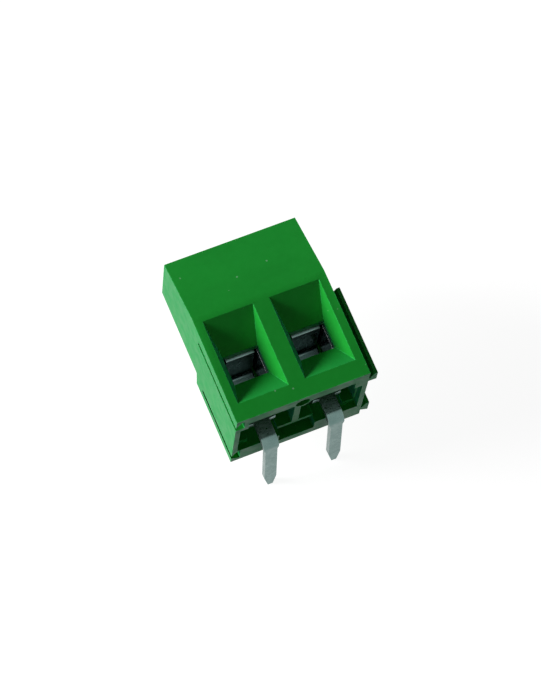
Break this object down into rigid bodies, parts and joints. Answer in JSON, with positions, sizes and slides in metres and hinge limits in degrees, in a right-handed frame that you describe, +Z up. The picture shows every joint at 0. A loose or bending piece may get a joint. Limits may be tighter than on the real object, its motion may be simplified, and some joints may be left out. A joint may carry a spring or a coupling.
{
  "type": "pcb screw terminal",
  "caption": "Lying screw terminal block for a circuit board: sloped wire funnels on top, rising clamp cages, slotted screws at the back and bent solder pins at the open front.",
  "frame": {"origin": "on the board's face, in the middle of the row of solder pins", "axes": "+X along the row of poles to the side with the keys, +Y from the open front to the back of the case, +Z up from the board"},
  "size_m": [0.0108, 0.0153, 0.0116],
  "materials": {
    "case_plastic": "moulded green polyamide, satin with a soft sheen",
    "cage_steel": "folded sheet steel, zinc plated",
    "screw_steel": "steel screw, zinc plated",
    "contact_tin": "brass strip, dull tin plate"
  },
  "bodies": {
    "case": {"housing": "case_plastic", "left_contact": "contact_tin", "right_contact": "contact_tin"},
    "left_clamp": {"left_cage": "cage_steel"},
    "right_clamp": {"right_cage": "cage_steel"},
    "left_driver": {"left_screw": "screw_steel"},
    "right_driver": {"right_screw": "screw_steel"}
  },
  "joints": [
    {"name": "left_clamp_slide", "type": "slide", "parent": "case", "child": "left_clamp", "axis": [0, 1, 0], "range_m": [0, 0.00185]},
    {"name": "left_screw_turn", "type": "hinge", "parent": "case", "child": "left_driver", "pos_m": [-0.00254, 0.01, 0.00455], "axis": [0, -1, 0], "range_deg": [0, 1480.5]},
    {"name": "right_clamp_slide", "type": "slide", "parent": "case", "child": "right_clamp", "axis": [0, 1, 0], "range_m": [0, 0.00185]},
    {"name": "right_screw_turn", "type": "hinge", "parent": "case", "child": "right_driver", "pos_m": [0.00254, 0.01, 0.00455], "axis": [0, -1, 0], "range_deg": [0, 1480.5]}
  ],
  "couplings": [
    {"joint": "left_screw_turn", "follows": "left_clamp_slide", "rad_per_m": 13963},
    {"joint": "right_screw_turn", "follows": "right_clamp_slide", "rad_per_m": 13963}
  ]
}
